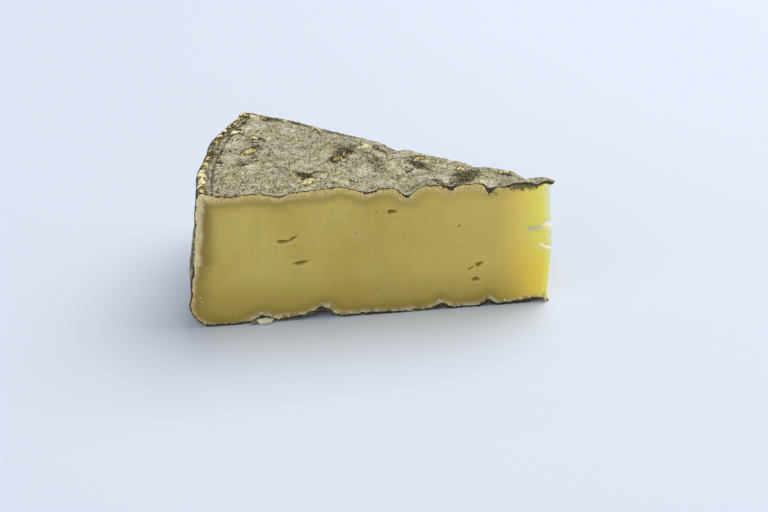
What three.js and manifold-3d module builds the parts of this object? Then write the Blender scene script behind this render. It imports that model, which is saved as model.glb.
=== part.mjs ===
// A wedge cut from a small round of semi-soft cheese with a mould-ripened rind.
// Millimetres, +Z up. The wedge stands on its base with its tip towards +X and the rim of the round
// towards -X. Its two cut faces look towards -Y and +Y, half the wedge angle off the X axis.
import * as THREE from "three";
import { mergeVertices } from "three/addons/utils/BufferGeometryUtils.js";
import Module from "manifold-3d";

const wasm = await Module();
wasm.setup();

// The round that the wedge comes from
const RIM_RADIUS = 106.8; // at the widest, low on the slumped side
const SHOULDER_RADIUS = 103.5; // where the side meets the rounded shoulder
const HEIGHT_AT_RIM = 42.4;
const HEIGHT_AT_TIP = 40.4;
const BELLY_HEIGHT = 8; // of the widest ring above the base
const SHOULDER_ROUND = 1.6; // radius of the top edge of the round
const FOOT_ROUND = 6; // how far in from the rim the base starts
const RIND = 2; // the rind and the pale band under it

// The cut
const WEDGE_ANGLE = THREE.MathUtils.degToRad(33.3);
const HALF_ANGLE = WEDGE_ANGLE / 2;
const TIP_RADIUS = 1.2; // the knife cuts meet in a blunt edge, this far from the axis
const RIND_SPUR = 1.5; // how far the paste stands back under the rind at the tip

// Steps of the mesh
const FLAT_STEPS = 48; // along the top and along the base
const SHOULDER_STEPS = 5;
const SIDE_STEPS = 11;
const FOOT_STEPS = 6;
const ANGLE_STEPS = 24;
const BALL_STEPS = 12; // round an eye or a shard

// Folds and dents of the rind that run in from a cut edge: distance from the axis along the cut,
// depth, half width along the cut and reach into the wedge. Where the depth is negative the rind rises.
const NEAR_TOP_DENTS = [
  { at: 101.8, depth: -1, width: 1.8, reach: 7 },
  { at: 94, depth: 0.6, width: 3.4, reach: 9 },
  { at: 80.8, depth: 1.1, width: 3.2, reach: 9 },
  { at: 64.5, depth: -0.8, width: 5, reach: 12 },
  { at: 55.6, depth: 1.2, width: 3.4, reach: 10 },
  { at: 44.2, depth: 2.8, width: 2.9, reach: 9 },
  { at: 31.4, depth: 0.6, width: 1.5, reach: 6 },
  { at: 20.2, depth: 1.1, width: 1.5, reach: 6 },
  { at: 17, depth: 1.2, width: 3, reach: 6 },
  { at: 6.6, depth: 0.9, width: 1.6, reach: 4 },
  { at: 1, depth: 0.7, width: 2, reach: 3 },
];
const FAR_TOP_DENTS = [
  { at: 88, depth: -0.5, width: 7, reach: 12 },
  { at: 34, depth: 1.3, width: 24, reach: 11 },
  { at: 51.6, depth: 1.1, width: 3, reach: 9 },
  { at: 25.5, depth: 0.8, width: 3, reach: 6 },
  { at: 10.5, depth: 1.7, width: 2.8, reach: 4 },
];
const NEAR_BASE_DENTS = [
  { at: 88, depth: 0.8, width: 4.2, reach: 6 },
  { at: 85, depth: 0.9, width: 2.2, reach: 6 },
  { at: 78, depth: 0.45, width: 4.5, reach: 10 },
  { at: 71.5, depth: 1.2, width: 4.5, reach: 12 },
  { at: 68.4, depth: 2.2, width: 3.2, reach: 15 },
  { at: 33.6, depth: 0.9, width: 2.2, reach: 7 },
  { at: 19.5, depth: 0.7, width: 2, reach: 5 },
  { at: 4, depth: 0.8, width: 2.6, reach: 3 },
];
const FAR_BASE_DENTS = [
  { at: 89, depth: 1.2, width: 3.6, reach: 8 },
  { at: 58, depth: 2.6, width: 3, reach: 12 },
  { at: 27, depth: 1.5, width: 2.6, reach: 6 },
];
const FAINT_DENT = 0.1; // the base stays flat where its dents are fainter than this
// The flat base is a hair hollow. It stands on four points at the cuts, two at the foot and two near the tip.
const BASE_HOLLOW = 0.1;
const STAND_STEPS = [0, 43]; // of the base's steps from the foot to the tip
const STAND_REACH = 1.5; // how far round such a point the base comes down to it
// Long low swells all over the skin, each of three crossed waves: wavelength and height
const SWELLS = [
  { length: 37, height: 0.34 },
  { length: 23, height: 0.22 },
  { length: 13, height: 0.14 },
];
const CROSSINGS = 3;
const FIRST_TURN = 0.7; // direction of the first wave, in radians
const GOLDEN_ANGLE = Math.PI * (3 - Math.sqrt(5)); // from each wave to the next, so that no two line up
const SIDE_SWELL_SHORTER = 2; // how many times shorter the swells are on the side of the round
const SWELL_FADE = 9; // the swells fade out over this distance from a cut, where the dents give the edge

// Eyes, the small slits in the paste. Each lobe has its distance from the axis along the cut, its
// height, its half length, its half height and its tilt in degrees.
const NEAR_EYES = [
  { at: 79.7, up: 26.2, long: 2.1, high: 0.6, tilt: 2 },
  { at: 76.9, up: 27, long: 1.5, high: 0.5, tilt: 30 },
  { at: 74.8, up: 19, long: 2.5, high: 0.65, tilt: 6 },
  { at: 48.4, up: 33.4, long: 1.8, high: 0.7, tilt: 2 },
  { at: 28.9, up: 27.4, long: 0.8, high: 0.4, tilt: 40 },
  { at: 25.1, up: 13.1, long: 1, high: 0.5, tilt: 24 },
  { at: 22.6, up: 14.3, long: 1.5, high: 0.75, tilt: 32 },
  { at: 23.5, up: 9.4, long: 1.5, high: 0.7, tilt: -2 },
];
const FAR_EYES = [
  { at: 88, up: 17.5, long: 1.6, high: 0.6, tilt: -12 },
  { at: 66.5, up: 29.5, long: 2.3, high: 0.65, tilt: 8 },
  { at: 52, up: 14.2, long: 1.5, high: 0.75, tilt: -24 },
  { at: 39, up: 24.8, long: 2, high: 0.6, tilt: 4 },
  { at: 27.5, up: 11.5, long: 1.4, high: 0.6, tilt: 15 },
];
const EYE_DEPTH = 1.1;

// Tears through the thin tip: an outline in distance from the axis and height, open past the tip
const PAST_TIP = -1;
const UPPER_TEAR = [[8.5, 24.5], [5, 24.9], [PAST_TIP, 25.6], [PAST_TIP, 28.2], [2.2, 26.9], [5, 25.6]];
const LOWER_TEAR = [[5.3, 19], [4.6, 18.3], [PAST_TIP, 16.7], [PAST_TIP, 18], [3.5, 19.1], [4.6, 19.9]];
const TEAR_LENGTH = 12; // across the tip, past both cut faces

// A shard of rind that peeps out under the near cut face
const SHARD = { at: 86.4, up: 1.05, long: 3.1, out: 2, high: 0.85 };

const NEAR = -1;
const FAR = 1;
const SAME_POINT = 1e-4; // points closer than this are one

// The axis of the round is at x = y = 0 until the wedge is placed, and the wedge lies on -X.
// An angle is measured at the axis, from the middle of the wedge towards its far cut.
function fromAxis(radius, angle, up) {
  return new THREE.Vector3(-radius * Math.cos(angle), radius * Math.sin(angle), up);
}

// Distance along a cut plane from the axis, and distance into the wedge from that plane
function fromCut(x, y, side) {
  const along = -x * Math.cos(HALF_ANGLE) + side * y * Math.sin(HALF_ANGLE);
  const inward = -x * Math.sin(HALF_ANGLE) - side * y * Math.cos(HALF_ANGLE);
  return { along, inward };
}

function dentDepth(x, y, dents, side) {
  const { along, inward } = fromCut(x, y, side);
  let depth = 0;
  for (const dent of dents) {
    depth += dent.depth * Math.exp(-(((along - dent.at) / dent.width) ** 2) - (inward / dent.reach) ** 2);
  }
  return depth;
}

function baseRadius(step) {
  return THREE.MathUtils.lerp(RIM_RADIUS - FOOT_ROUND, TIP_RADIUS, step / FLAT_STEPS);
}

// How high the hollow base is over the points that it stands on
function baseHollow(x, y) {
  let distance = STAND_REACH;
  for (const step of STAND_STEPS) {
    for (const side of [NEAR, FAR]) {
      const stand = fromAxis(baseRadius(step), side * HALF_ANGLE, 0);
      distance = Math.min(distance, Math.hypot(x - stand.x, y - stand.y));
    }
  }
  return (BASE_HOLLOW * distance) / STAND_REACH;
}

// Height of the swells at a place on the skin. Each wave starts with a phase taken from its direction.
function swellHeight(x, y) {
  let height = 0;
  let turn = FIRST_TURN;
  for (const wave of SWELLS) {
    for (let crossing = 0; crossing < CROSSINGS; crossing++) {
      const along = x * Math.cos(turn) + y * Math.sin(turn);
      const phase = CROSSINGS * turn;
      height += (wave.height / 2) * Math.sin((2 * Math.PI * along) / wave.length + phase);
      turn += GOLDEN_ANGLE;
    }
  }
  return height;
}

// Section of the round in distance from the axis and height, closed, from the top of the tip outwards
function sectionOfRound() {
  const outline = [];
  const shoulderStart = SHOULDER_RADIUS - SHOULDER_ROUND;
  for (let step = 0; step <= FLAT_STEPS; step++) {
    const share = step / FLAT_STEPS;
    const radius = THREE.MathUtils.lerp(TIP_RADIUS, shoulderStart, share);
    outline.push(new THREE.Vector2(radius, THREE.MathUtils.lerp(HEIGHT_AT_TIP, HEIGHT_AT_RIM, share)));
  }
  for (let step = 1; step <= SHOULDER_STEPS; step++) {
    const turn = (Math.PI / 2) * (step / SHOULDER_STEPS);
    outline.push(
      new THREE.Vector2(
        shoulderStart + SHOULDER_ROUND * Math.sin(turn),
        HEIGHT_AT_RIM - SHOULDER_ROUND * (1 - Math.cos(turn)),
      ),
    );
  }
  const sideTop = HEIGHT_AT_RIM - SHOULDER_ROUND;
  for (let step = 1; step <= SIDE_STEPS; step++) {
    const share = step / SIDE_STEPS;
    const slump = THREE.MathUtils.smoothstep(share, 0, 1);
    outline.push(
      new THREE.Vector2(
        THREE.MathUtils.lerp(SHOULDER_RADIUS, RIM_RADIUS, slump),
        THREE.MathUtils.lerp(sideTop, BELLY_HEIGHT, share),
      ),
    );
  }
  for (let step = 1; step <= FOOT_STEPS; step++) {
    const turn = (Math.PI / 2) * (step / FOOT_STEPS);
    outline.push(
      new THREE.Vector2(
        RIM_RADIUS - FOOT_ROUND * (1 - Math.cos(turn)),
        BELLY_HEIGHT * (1 - Math.sin(turn)),
      ),
    );
  }
  for (let step = 1; step <= FLAT_STEPS; step++) outline.push(new THREE.Vector2(baseRadius(step), 0));
  outline.push(new THREE.Vector2(TIP_RADIUS + RIND_SPUR / 2, RIND));
  outline.push(new THREE.Vector2(TIP_RADIUS, HEIGHT_AT_TIP / 2));
  outline.push(new THREE.Vector2(TIP_RADIUS + RIND_SPUR, HEIGHT_AT_TIP - RIND));
  return outline;
}

// Moves a point of the smooth round to where the uneven skin has it
function unevenSkin(point) {
  const { x, y, z } = point;
  const radius = Math.hypot(x, y);
  const topness = THREE.MathUtils.smoothstep(z, HEIGHT_AT_TIP - 4 * RIND, HEIGHT_AT_TIP - RIND / 2);
  const rimness = THREE.MathUtils.smoothstep(radius, SHOULDER_RADIUS - 2 * SHOULDER_ROUND, SHOULDER_RADIUS);
  const baseness = 1 - THREE.MathUtils.smoothstep(z, 0, 2 * RIND);
  const topDents = dentDepth(x, y, NEAR_TOP_DENTS, NEAR) + dentDepth(x, y, FAR_TOP_DENTS, FAR);
  const baseDents = dentDepth(x, y, NEAR_BASE_DENTS, NEAR) + dentDepth(x, y, FAR_BASE_DENTS, FAR);
  const toNearestCut = Math.min(fromCut(x, y, NEAR).inward, fromCut(x, y, FAR).inward);
  const swelling = THREE.MathUtils.smoothstep(toNearestCut, 0, SWELL_FADE);
  const top = topness * (swelling * swellHeight(x, y) - topDents);
  const base = baseness * (Math.max(0, baseDents - FAINT_DENT) + baseHollow(x, y));
  // On the side the swells run round the rim and up it. They fade out at the foot that carries the wedge.
  const sideSwell = swellHeight(SIDE_SWELL_SHORTER * y, SIDE_SWELL_SHORTER * z);
  const side = rimness * THREE.MathUtils.smoothstep(z, 0, BELLY_HEIGHT) * sideSwell;
  const outwards = 1 + side / radius;
  return new THREE.Vector3(x * outwards, y * outwards, z + top + base);
}

// A closed solid, ready for cuts and joins
function solidOf(geometry) {
  const bare = geometry.clone();
  bare.deleteAttribute("normal");
  bare.deleteAttribute("uv");
  const merged = mergeVertices(bare, SAME_POINT);
  return new wasm.Manifold(
    new wasm.Mesh({
      numProp: 3,
      vertProperties: new Float32Array(merged.attributes.position.array),
      triVerts: new Uint32Array(merged.index.array),
    }),
  );
}

function geometryOf(solid) {
  const mesh = solid.getMesh();
  const geometry = new THREE.BufferGeometry();
  geometry.setAttribute("position", new THREE.BufferAttribute(mesh.vertProperties, 3));
  geometry.setIndex(new THREE.BufferAttribute(mesh.triVerts, 1));
  return geometry;
}

// Triangles that close one cut face, as indices into its ring of points, facing out of the wedge
function cutFace(ring, side) {
  const flat = ring.map((p) => new THREE.Vector2(fromCut(p.x, p.y, side).along, p.z));
  return THREE.ShapeUtils.triangulateShape(flat, []).map(([a, b, c]) => {
    const facesFar = THREE.ShapeUtils.area([flat[a], flat[b], flat[c]]) > 0;
    return facesFar === side > 0 ? [a, b, c] : [a, c, b];
  });
}

// The sector of the round: its section swept round the axis as uneven skin, closed by the flat cut faces
function makeSector() {
  const outline = sectionOfRound();
  const rings = [];
  for (let step = 0; step <= ANGLE_STEPS; step++) {
    const angle = THREE.MathUtils.lerp(-HALF_ANGLE, HALF_ANGLE, step / ANGLE_STEPS);
    rings.push(outline.map((p) => unevenSkin(fromAxis(p.x, angle, p.y))));
  }
  const count = outline.length;
  const index = [];
  for (let step = 0; step < ANGLE_STEPS; step++) {
    for (let i = 0; i < count; i++) {
      const a = step * count + i;
      const b = step * count + ((i + 1) % count);
      const c = a + count;
      const d = b + count;
      index.push(a, d, b, a, c, d);
    }
  }
  const lastRing = ANGLE_STEPS * count;
  for (const triangle of cutFace(rings[0], NEAR)) index.push(...triangle);
  for (const triangle of cutFace(rings[ANGLE_STEPS], FAR)) index.push(...triangle.map((i) => lastRing + i));
  const geometry = new THREE.BufferGeometry().setFromPoints(rings.flat());
  geometry.setIndex(index);
  return solidOf(geometry);
}

// A ball flattened to half sizes along a cut face, through it and upwards, and set on that face
function makeBall(at, up, halfSizes, tilt, side) {
  const ball = new THREE.SphereGeometry(1, BALL_STEPS, BALL_STEPS / 2);
  ball.scale(...halfSizes);
  ball.rotateY(-THREE.MathUtils.degToRad(tilt));
  ball.rotateZ(-side * HALF_ANGLE);
  ball.translate(...fromAxis(at, side * HALF_ANGLE, up));
  return solidOf(ball);
}

function makeEye(eye, side) {
  return makeBall(eye.at, eye.up, [eye.long, EYE_DEPTH, eye.high], eye.tilt, side);
}

// A prism through the tip from side to side
function makeTear(outline) {
  const shape = new THREE.Shape(outline.map(([at, up]) => new THREE.Vector2(-at, up)));
  const tear = new THREE.ExtrudeGeometry(shape, { depth: TEAR_LENGTH, bevelEnabled: false });
  tear.rotateX(Math.PI / 2);
  tear.translate(0, TEAR_LENGTH / 2, 0);
  return solidOf(tear);
}

function makeShard() {
  return makeBall(SHARD.at, SHARD.up, [SHARD.long, SHARD.out, SHARD.high], 0, NEAR);
}

function makeWedge() {
  let solid = makeSector();
  for (const eye of NEAR_EYES) solid = solid.subtract(makeEye(eye, NEAR));
  for (const eye of FAR_EYES) solid = solid.subtract(makeEye(eye, FAR));
  for (const outline of [UPPER_TEAR, LOWER_TEAR]) solid = solid.subtract(makeTear(outline));
  return geometryOf(solid.add(makeShard()));
}

const geometry = makeWedge();
geometry.computeBoundingBox();
const middle = geometry.boundingBox.getCenter(new THREE.Vector3());
const wedge = new THREE.Mesh(
  geometry,
  new THREE.MeshStandardMaterial({ color: 0xd6c27c, roughness: 0.55, metalness: 0 }),
);
wedge.name = "cheese_wedge";
// The origin comes to lie on the base, under the middle of the wedge.
wedge.position.set(-middle.x, -middle.y, -geometry.boundingBox.min.z);

const part = new THREE.Group();
part.add(wedge);
export default part;
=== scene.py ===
"""A wedge of semi-soft cheese: pale yellow paste inside a mottled, mould-ripened rind.

The wedge is one fine mesh in place of the plain solid. Its skin is the section of the round swept round the
axis, with the same dents as the solid and the fine relief of the rind on top of them. Its two cut faces are
filled between the skin's edges, with the slit eyes pressed into them. Scraps of rind and crumbs sit on it.
Lengths here are in millimetres until the mesh is made, which is in metres.
"""

import math

import bmesh
import bpy
import numpy as np
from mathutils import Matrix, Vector, kdtree, noise
from mathutils.geometry import delaunay_2d_cdt


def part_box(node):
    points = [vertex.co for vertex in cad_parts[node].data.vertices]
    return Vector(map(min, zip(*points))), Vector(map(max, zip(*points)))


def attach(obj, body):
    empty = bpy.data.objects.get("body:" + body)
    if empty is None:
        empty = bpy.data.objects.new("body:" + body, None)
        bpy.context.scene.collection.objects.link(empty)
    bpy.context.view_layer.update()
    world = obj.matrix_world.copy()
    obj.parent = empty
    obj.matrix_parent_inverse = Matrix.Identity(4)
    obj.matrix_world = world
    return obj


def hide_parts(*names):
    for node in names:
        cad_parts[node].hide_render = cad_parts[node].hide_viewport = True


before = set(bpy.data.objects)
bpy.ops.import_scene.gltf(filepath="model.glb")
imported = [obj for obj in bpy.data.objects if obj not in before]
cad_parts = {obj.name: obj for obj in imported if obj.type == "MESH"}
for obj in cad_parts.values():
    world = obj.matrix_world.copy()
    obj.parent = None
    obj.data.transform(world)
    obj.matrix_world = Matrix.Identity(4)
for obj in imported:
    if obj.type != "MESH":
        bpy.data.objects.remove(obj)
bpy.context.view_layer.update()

NODE = "cheese_wedge"
MM = 0.001
NEAR = -1
FAR = 1
RIND_FACES = 0
PASTE_FACES = 1

# The round and the cut, as in the solid
RIM_RADIUS = 106.8
SHOULDER_RADIUS = 103.5
HEIGHT_AT_RIM = 42.4
HEIGHT_AT_TIP = 40.4
BELLY_HEIGHT = 8
SHOULDER_ROUND = 1.6
FOOT_ROUND = 6
RIND = 2
WEDGE_ANGLE = math.radians(33.3)
HALF_ANGLE = WEDGE_ANGLE / 2
TIP_RADIUS = 1.2

# The blunt edge of the tip from the base up, in distance from the axis and height, with its two tears
TIP_EDGE = [
    (1.2, 0), (1.95, 2), (1.3, 17.4), (4.6, 18.3), (5.3, 19), (4.6, 19.9), (3.5, 19.1), (1.3, 18.6),
    (1.25, 20.2), (1.6, 25.3), (5, 24.9), (8.5, 24.5), (5, 25.6), (2.2, 26.9), (1.75, 27.1), (2.7, 38.4),
    (1.2, 40.4),
]
TORN_PAST = 1.9  # the tip edge is torn where it lies farther from the axis than this, between these heights
TORN_HEIGHTS = (17, 27)
THIN_EDGE = 3.4  # light comes through the tip as far in from its edge, and as far in from a tear
TORN_LIP = 0.8
GLOW_REACH = 60  # the paste is painted paler from this far to the tip, a painted glow of light through its thin paste

# Dents that run in from a cut edge: distance from the axis along the cut, depth, half width and reach
NEAR_TOP_DENTS = [
    (101.8, -1, 1.8, 7), (94, 0.6, 3.4, 9), (80.8, 1.1, 3.2, 9), (64.5, -0.8, 5, 12), (55.6, 1.2, 3.4, 10),
    (44.2, 2.8, 2.9, 9), (31.4, 0.6, 1.5, 6), (20.2, 1.1, 1.5, 6), (17, 1.2, 3, 6), (6.6, 0.9, 1.6, 4),
    (1, 0.7, 2, 3),
]
FAR_TOP_DENTS = [
    (88, -0.5, 7, 12), (34, 1.3, 24, 11), (51.6, 1.1, 3, 9), (25.5, 0.8, 3, 6), (10.5, 1.7, 2.8, 4),
]
NEAR_BASE_DENTS = [
    (88, 0.8, 4.2, 6), (85, 0.9, 2.2, 6), (78, 0.45, 4.5, 10), (71.5, 1.2, 4.5, 12), (68.4, 2.2, 3.2, 15),
    (33.6, 0.9, 2.2, 7), (19.5, 0.7, 2, 5), (4, 0.8, 2.6, 3),
]
FAR_BASE_DENTS = [(89, 1.2, 3.6, 8), (58, 2.6, 3, 12), (27, 1.5, 2.6, 6)]
FAINT_DENT = 0.1
SWELLS = [(37, 0.34), (23, 0.22), (13, 0.14)]  # wavelength and height
CROSSINGS = 3
FIRST_TURN = 0.7
GOLDEN_ANGLE = math.pi * (3 - math.sqrt(5))
SIDE_SWELL_SHORTER = 2
SWELL_FADE = 9

# Eyes in the cut faces: distance from the axis, height, half length, half height, tilt in degrees
NEAR_EYES = [
    (79.7, 26.2, 2.1, 0.6, 2), (76.9, 27, 1.5, 0.5, 30), (74.8, 19, 2.5, 0.65, 6), (48.4, 33.4, 1.8, 0.7, 2),
    (28.9, 27.4, 0.8, 0.4, 40), (25.1, 13.1, 1, 0.5, 24), (22.6, 14.3, 1.5, 0.75, 32),
    (23.5, 9.4, 1.5, 0.7, -2),
]
FAR_EYES = [
    (88, 17.5, 1.6, 0.6, -12), (66.5, 29.5, 2.3, 0.65, 8), (52, 14.2, 1.5, 0.75, -24), (39, 24.8, 2, 0.6, 4),
    (27.5, 11.5, 1.4, 0.6, 15),
]
EYE_DEPTH = 1.1
LONG_EYE = 1.6  # eyes with a shorter half length are fainter

# Unevenness of the cut faces: broad waves and the fine marks of the knife, drawn out one way
CUT_WAVE_SIZE, CUT_WAVE_HEIGHT = 14, 0.1
KNIFE_MARK_SIZE, KNIFE_MARK_HEIGHT = 0.9, 0.03
KNIFE_MARK_STRETCH = (1, 0.12, 1)

# Scraps of rind and crumbs on the near cut face: distance from the axis, height, half length, half
# thickness, half height, tilt in degrees, how creamy and how amber they are
SCRAPS = [
    (85.6, 0.95, 2.2, 1.7, 0.75, -4, 1, -0.1), (88.8, 0.75, 1.15, 1.1, 0.5, 18, 0.1, 0.4),
    (2.5, 1.5, 0.4, 0.7, 1.4, 12, 0.6, 0.3), (99.0, 37.1, 0.45, 0.2, 0.22, -38, 1, 0.3),
    (99.1, 31.35, 0.5, 0.2, 0.2, 12, 1, 0.3), (103.9, 9.9, 0.3, 0.25, 0.4, 0, 1, 0.25),
    (103.5, 8.7, 0.35, 0.3, 0.3, 0, 1, 0.25), (14.6, 1.6, 0.35, 0.4, 0.5, 0, 1, 0.1),
    (58.5, 26.8, 0.14, 0.12, 1.3, 5, 1, 0.36),
]
LOWEST_SCRAP = 0.03  # no scrap reaches lower than this

# Spacing of the mesh's points
ARC_STEPS = 12  # round the shoulder and round the foot, before the section is resampled
WALL_STEPS = 40
TOP_STEP = 0.34
SIDE_STEP = 0.4
BASE_STEP = 0.6
CUT_STEP = 0.45
FINE_BAND = 4  # the cut faces have points this close as far in from the rind, and half as close beyond
ROW_SPACING = 0.866  # between the rows of a cut face's grid, in steps
JITTER = 0.09
EDGE_GAP = 0.25  # the grid keeps this far from the skin's own points
EYE_TURNS = 24  # points on each ring round an eye
EYE_RINGS = (0.25, 0.5, 0.7, 0.85, 0.95, 1.05, 1.2, 1.4)  # in parts of the eye's size
EYE_CLEARANCE = 1.45  # the grid keeps out of this many times the eye's size
SHARP_ANGLE = 58  # degrees between two faces, past which their edge isn't smoothed over

# Spots on top of the rind: distance from the axis, degrees from the near cut, half length, half width,
# turn in degrees, and for a flake how amber it is, for a patch how strong
TOP_FLAKES = [
    (91.1, 17.8, 2.1, 1.2, 50, 0.42), (92.6, 23.6, 1.5, 0.9, 55, 0.5), (98.7, 25, 1.8, 0.8, 35, 0.1),
    (102, 24.5, 1.1, 0.7, 55, 0.1), (94.8, 32, 1.1, 0.8, -49, 0.65), (98.6, 32.3, 1.4, 0.6, 9, 0.25),
    (102.4, 32.4, 1, 0.8, 34, 0.25), (58.9, 28.7, 2.1, 0.9, 33, 0.15), (57, 30.2, 1.2, 0.7, 20, 0.55),
    (64.6, 17.2, 1.5, 0.7, 59, 0.68), (63.3, 20.9, 1, 0.5, 58, 0.5), (62.3, 17, 0.9, 0.5, 40, 0.45),
    (71.8, 4.5, 2.3, 1, 63, 0.4), (42.5, 27.6, 1.7, 0.7, 61, 0.55), (29, 25, 1.2, 0.6, 44, 0.3),
    (21.8, 5, 0.9, 0.7, 10, -0.1), (16.6, 29, 1.2, 0.5, 8, 0.35), (77.5, 32.5, 1.5, 0.5, -14, 0.35),
    (88, 32.6, 1, 0.5, -14, 0.4), (97, 21.8, 0.55, 0.5, 0, 0),
]
DARK_PATCHES = [
    (89.6, 20.2, 1.3, 0.9, 51, 1), (90.2, 23.8, 2.2, 1, -35, 1), (99.8, 26.5, 1.8, 0.9, -24, 0.9),
    (92, 32.4, 3, 1, -16, 0.9), (54.9, 28.8, 2.2, 0.9, -13, 0.9), (64, 20.2, 6.5, 2.6, 71, 0.85),
    (53.9, 19.5, 8, 2.8, -62, 0.52), (73.2, 8, 3.4, 1.4, -32, 0.9), (41.2, 22, 4.6, 2.4, -44, 0.85),
    (43.3, 29, 2.6, 1.3, 30, 0.9), (27, 13, 6.4, 3.4, 66, 1), (25.5, 22, 3, 2, 60, 0.85),
    (15.9, 25.5, 2.4, 1, -17, 1), (99.3, 9.5, 8.3, 1.3, -81, 0.35), (91, 13, 4.2, 2.2, 42, 0.5),
    (80, 4, 6, 1.5, -20, 0.3), (35, 3, 4, 1.4, -25, 0.55), (7, 18, 4, 1.6, 0, 0.25),
    (84, 32.5, 4, 0.7, -16, 0.8), (70, 32.6, 5, 0.6, -16, 0.7), (100.5, 31, 2.6, 0.8, 60, 0.8),
]
PALE_PATCHES = [
    (84.8, 29, 2.6, 1.7, -44, 0.7), (97.2, 19.5, 4.5, 3, -41, 0.55), (56, 13.8, 5.5, 2.6, 69, 0.45),
    (47.5, 17, 5.5, 2.6, -60, 0.5), (68.5, 5.5, 5, 2.5, 20, 0.45), (34, 9, 4, 2.4, 20, 0.5),
    (95, 28, 5, 3, 20, 0.4), (20, 8, 3, 2, 30, 0.6), (62, 3.5, 5, 1.6, -10, 0.4),
]
CREVICES = [
    (95.1, 18.3, 1, 0.35, 21, 1), (90, 12.2, 2.5, 0.45, 42, 1), (88.5, 14.2, 1.6, 0.4, 25, 1),
    (43.1, 16, 1.7, 0.45, 48, 1), (59.5, 5.8, 0.5, 0.45, 0, 1), (60.7, 1.3, 0.5, 0.45, 0, 1),
    (66.4, 6.4, 3.7, 0.28, 86, 0.6), (68.1, 10, 2.6, 0.35, -7, 0.8), (70.9, 8.6, 2.2, 0.4, 60, 0.9),
    (56.5, 9.5, 1.9, 0.3, 55, 0.6), (81.5, 12, 0.5, 0.4, 0, 1), (84, 19, 0.45, 0.4, 0, 0.9),
    (76, 17, 0.9, 0.35, 60, 0.8), (78, 11, 0.5, 0.4, 0, 0.8), (91.5, 21.6, 1.6, 0.4, 30, 1),
    (65.2, 22.6, 1.6, 0.4, 50, 0.9), (72.6, 6.6, 1.8, 0.45, 40, 1), (60.3, 27.4, 1.2, 0.4, 60, 1),
]
FLAKE_HEIGHT = 0.25
MOAT_DEPTH = 0.3  # of the dip round a flake
CREVICE_DEPTH = 0.55
PATCH_END = 1.5  # patches fade out up to this many times their size

# Fine relief of the rind: the size of its features, and how far they rise or sink
BUMP_SIZE, BUMP_HEIGHT = 8, 0.28
GRAIN_SIZE, GRAIN_HEIGHT = 1.05, 0.16
WRINKLE_SIZE, WRINKLE_DEPTH = 4.2, 0.2
PIT_SIZE, PIT_DEPTH = 1.7, 0.35
RIM_SMOOTHING = 0.65  # share of this relief that is lost at the rim

# The strip along the shoulder where the rind is rubbed off: how far in from the shoulder its middle lies,
# its half width, and how far in the dark line along its inner side lies
RUBBED_IN = 1.7
RUBBED_WIDTH = 1.8
INNER_LINE_IN = 4.6
INNER_LINE_WIDTH = 0.5
BLOTCH_SIZE = 2.4

# Places where the dark rind shows thicker along a cut edge: distance from the axis, extra thickness and
# half width. Along the base this also paints shade into the gaps and hollows under the wedge.
NEAR_TOP_CRUST = [
    (96, 0.15, 4), (80.8, 0.15, 4), (55.6, 0.2, 3.5), (44.2, 0.7, 1.2), (31.4, 0.9, 1.5), (20.2, 1.4, 1.4),
    (14, 0.4, 2), (9, 0.6, 3), (3.5, 0.6, 2.4),
]
NEAR_BASE_CRUST_AND_SHADE = [
    (85.8, 0.5, 2.2), (77, 0.35, 4), (69.2, 0.5, 3), (53, 0.4, 4), (33.6, 0.9, 2.2), (19.5, 1, 2),
    (9, 0.8, 5),
]
FAR_TOP_CRUST = [(92, 0.3, 3), (64, 0.25, 6), (51.6, 0.7, 2), (25.5, 0.9, 2), (10.5, 1.4, 2.4), (3, 1, 3)]
FAR_BASE_CRUST_AND_SHADE = [(89, 0.5, 3), (58, 0.7, 2.6), (41, 0.3, 4), (27, 1.1, 2.2), (8, 0.8, 4)]
CRUST = 0.3
BASE_PAINTED_SHADOW = 0.25  # extra thickness along the base: painted contact shadow under the wedge's edge
BAND = 2.1  # width of the pale band under the rind
BAND_GROWS = (10, 22)  # distances from the axis: narrow up to the first, full from the second
RIM_SIDE = (96, 101)  # the band along the rim begins between these

# Smears of mould on the cut faces: distance from the axis, half width, height, half height and strength
MOULD_SMEARS = [(10, 5.5, 38.7, 1.4, 1.1), (20, 3, 37, 1.5, 0.5)]

FLOOR_SIZE = 6  # in metres, like the next
NEAREST_SEEN = 0.01
SEED = 7

MASKS = [
    "relief", "flake", "amber", "dark_and_shade", "pale", "depth", "crust_and_shade", "band", "rimside", "mould", "eye", "tip",
    "edge",
]


def linear(red, green, blue):
    """A colour given in screen values of 0 to 255, as the shader takes it."""
    channels = [c / 255 for c in (red, green, blue)]
    return tuple(c / 12.92 if c <= 0.04045 else ((c + 0.055) / 1.055) ** 2.4 for c in channels) + (1.0,)


def smooth_step(value, low, high):
    share = np.clip((value - low) / (high - low), 0, 1)
    return share * share * (3 - 2 * share)


def bell(distance, width):
    return np.exp(-((distance / width) ** 2))


def fractal(points, size, octaves, shift):
    """Noise with features of that size at each point, about -1 to 1. Each shift gives another pattern."""
    offset = Vector((31.7, -17.3, 11.9)) * shift
    return np.array([noise.fractal(Vector(p) / size + offset, 1.0, 2.0, octaves) for p in points.tolist()])


def ridges(points, size, shift):
    """1 along thin wandering lines about that size apart, falling to 0 between them."""
    return 1 - np.clip(np.abs(fractal(points, size, 2, shift)) * 3, 0, 1)


def from_axis(radius, angle, up):
    """The wedge lies on -X with the axis of the round at 0, angles run from its middle to the far cut."""
    return np.stack(np.broadcast_arrays(-radius * np.cos(angle), radius * np.sin(angle), up), -1)


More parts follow.
